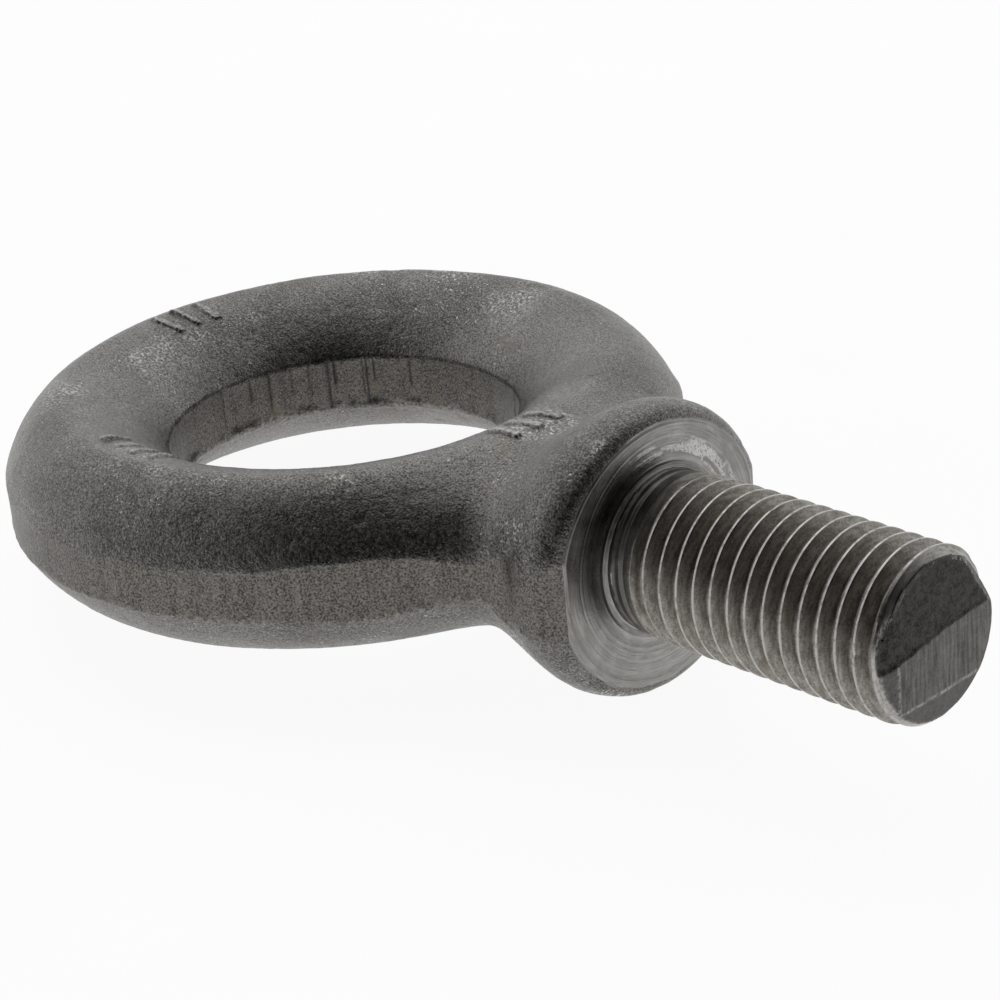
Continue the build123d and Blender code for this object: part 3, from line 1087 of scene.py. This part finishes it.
def thread_look():
    look = Look("rolled_thread", 1.0)
    end_face = look.mark("end_face")
    axial = look.add("SeparateXYZ", {0: look.place}).outputs[0]
    drawn, grain = look.around(0.2, 10, axial), look.noise(0.25, 3)
    grime = look.noise(3.2, 5, shift=6.0)
    tone = look.total((drawn, 0.55), (grain, 0.45))
    colour = look.mix(look.fade(tone, 0.36, 0.64), FLANK_DARK, FLANK_LIGHT)
    colour = look.mix(look.fade(grime, 0.50, 0.72, 0.0, 0.45), colour, FLANK_BROWN)
    specks = look.fade(look.noise(0.5, 2, shift=5.0), 0.68, 0.74, 0.0, 0.7)
    colour = look.mix(specks, colour, RUNOUT_DARK)
    bare = look.mix(look.fade(grime, 0.35, 0.65), RUNOUT_DARK, RUNOUT_LIGHT)
    colour = look.mix(look.mark("runout"), colour, bare)
    patchy = look.fade(look.noise(0.9, 3), 0.32, 0.55, 0.2, 1.0)
    bright = look.times(look.fade(look.mark("crest"), 0.25, 0.8), patchy)
    chamfer = look.times(look.mark("chamfer"), look.fade(tone, 0.4, 0.6, 0.2, 0.6))
    bright = look.math("MAXIMUM", bright, chamfer)
    colour = look.mix(bright, colour, CREST_STEEL)

    torn = look.total((look.noise(0.8, 4, shift=8.0), 0.5), (grain, 0.5))
    face_colour = look.mix(look.fade(torn, 0.38, 0.62), END_DARK, END_LIGHT)
    lines = look.noise(0.42, 3, stretch=(1, 1, 12), shift=2.0)
    shear_tone = look.total((lines, 0.6), (grain, 0.4))
    shear_colour = look.mix(look.fade(shear_tone, 0.36, 0.64), SHEAR_DARK, SHEAR_LIGHT)
    face_colour = look.mix(look.mark("sheared"), face_colour, shear_colour)
    lip_colour = look.mix(look.fade(torn, 0.38, 0.62), SHEAR_DARK, LIP_LIGHT)
    face_colour = look.mix(look.mark("lip"), face_colour, lip_colour)
    colour = look.mix(end_face, colour, face_colour)
    patchy_edge = look.fade(look.noise(0.45, 3, shift=3.0), 0.38, 0.58, 0.1, 0.9)
    colour = look.mix(look.times(look.mark("edge"), patchy_edge), colour, CREST_STEEL)
    look.put(look.shader.inputs["Base Color"], colour)

    rough = look.blend(bright, look.fade(grime, 0.3, 0.7, 0.32, 0.46), 0.24)
    rough = look.blend(end_face, rough, look.fade(torn, 0.35, 0.65, 0.42, 0.6))
    look.put(look.shader.inputs["Roughness"], rough)
    flank = look.math("SUBTRACT", 1.0, end_face)
    look.bump(look.times(tone, flank), 0.02)
    look.bump(look.times(torn, end_face), 0.10)
    look.bump(look.times(lines, look.mark("sheared")), 0.06)
    return look.material


forged_material = forged_look()
eye.data.materials.append(forged_material)
collar.data.materials.append(forged_material)
marks.data.materials.append(forged_material)
seat.data.materials.append(machined_look())
thread.data.materials.append(thread_look())


def add_camera():
    camera = bpy.data.objects.new("camera", bpy.data.cameras.new("camera"))
    bpy.context.scene.collection.objects.link(camera)
    camera.data.lens = LENS_MM
    camera.data.sensor_width = SENSOR_MM
    camera.data.clip_start = 0.01
    camera.data.clip_end = 20.0
    place = Vector(CAMERA_MM) * MM
    look = (Vector(AIM_MM) * MM - place).normalized()
    turn = look.to_track_quat("-Z", "Y").to_matrix().to_4x4()
    camera.matrix_world = (
        Matrix.Translation(place) @ Matrix.Rotation(math.radians(ROLL_DEG), 4, -look) @ turn
    )
    bpy.context.scene.camera = camera


add_camera()


def floor_look():
    """A white light table: it glows, so the shadow on it is faint."""
    look = Look("light_table", 0.0)
    tone = look.mix(look.noise(30, 3), (0.08, 0.08, 0.08), (0.10, 0.10, 0.10))
    look.put(look.shader.inputs["Base Color"], tone)
    look.shader.inputs["Roughness"].default_value = 0.9
    look.shader.inputs["Specular IOR Level"].default_value = 0.0
    look.shader.inputs["Emission Color"].default_value = (1, 1, 1, 1)
    look.shader.inputs["Emission Strength"].default_value = FLOOR_GLOW
    return look.material


def add_floor():
    (x1, z1), (x2, z2) = REST_POINTS
    slope = (z1 - z2) / (x1 - x2)
    normal = Vector((-slope, 0, 1)).normalized()
    bpy.ops.mesh.primitive_plane_add(size=FLOOR_SIZE)
    floor = bpy.context.object
    floor.name = "floor"
    floor.rotation_mode = "QUATERNION"
    floor.rotation_quaternion = normal.to_track_quat("Z", "Y")
    floor.location = Vector((x1, 0, z1)) * MM - normal * FLOOR_GAP
    floor.data.materials.append(floor_look())


add_floor()


def softbox(name, place, target, size, power):
    light = bpy.data.lights.new(name, "AREA")
    light.shape = "RECTANGLE"
    light.size, light.size_y = size
    light.energy = power
    lamp = bpy.data.objects.new(name, light)
    bpy.context.scene.collection.objects.link(lamp)
    lamp.location = place
    lamp.rotation_mode = "QUATERNION"
    lamp.rotation_quaternion = (Vector(target) - Vector(place)).to_track_quat("-Z", "Y")


softbox("overhead", place=(-0.45, 0.40, 0.8), target=(-0.02, 0, 0), size=(0.8, 0.8), power=0.8)


def add_tent():
    """The world lights the bolt from its pale side, and is plain white to the camera."""
    world = bpy.data.worlds.new("studio")
    world.use_nodes = True
    nodes, links = world.node_tree.nodes, world.node_tree.links
    back = nodes["Background"]
    back.inputs["Color"].default_value = (1, 1, 1, 1)
    place = nodes.new("ShaderNodeTexCoord")
    facing = nodes.new("ShaderNodeVectorMath")
    facing.operation = "DOT_PRODUCT"
    facing.inputs[1].default_value = Vector(OPEN_SIDE).normalized()
    links.new(place.outputs["Generated"], facing.inputs[0])
    fade = nodes.new("ShaderNodeMapRange")
    fade.interpolation_type = "SMOOTHSTEP"
    ends = (*OPEN_SPREAD, OPEN_GLOW, TENT_GLOW)
    for key, value in zip(("From Min", "From Max", "To Min", "To Max"), ends):
        fade.inputs[key].default_value = value
    links.new(facing.outputs["Value"], fade.inputs["Value"])
    seen = nodes.new("ShaderNodeLightPath")
    glow = nodes.new("ShaderNodeMix")
    links.new(seen.outputs["Is Camera Ray"], glow.inputs[0])
    links.new(fade.outputs[0], glow.inputs[2])
    glow.inputs[3].default_value = 1.0
    links.new(glow.outputs[0], back.inputs["Strength"])
    bpy.context.scene.world = world


add_tent()
bpy.context.scene.view_settings.view_transform = "Standard"
